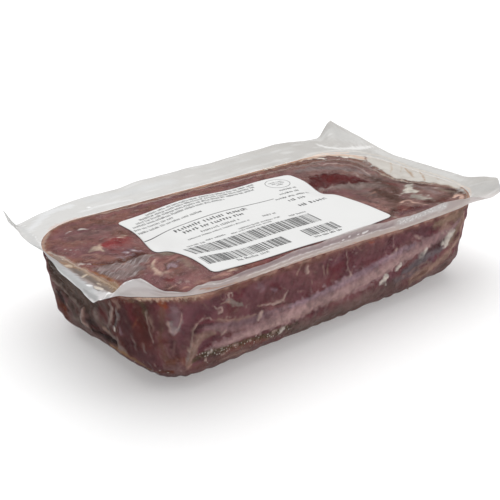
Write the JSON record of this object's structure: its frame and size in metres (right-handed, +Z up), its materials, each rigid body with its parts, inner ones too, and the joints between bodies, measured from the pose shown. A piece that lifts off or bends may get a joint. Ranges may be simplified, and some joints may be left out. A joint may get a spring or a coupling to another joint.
{
  "type": "vacuum-packed venison loin",
  "caption": "Raw venison loin pressed into a clear formed pouch, closed by a lid film with a folded sealed margin and a paper label on top.",
  "frame": {"origin": "middle of the pouch's flat underside", "axes": "+X along the pack, +Y towards the wide back margin, +Z up"},
  "size_m": [0.309, 0.1955, 0.0848],
  "materials": {
    "venison": "dark red raw meat with pale sinew, wet and glossy under tight clear film",
    "clear_film": "clear glossy film, milky grey where two layers are sealed",
    "label_paper": "matt white paper with plain black and grey print bars"
  },
  "bodies": {
    "root": {"sealed_pouch": "venison", "lid_film": "clear_film", "label": "label_paper"}
  },
  "joints": []
}
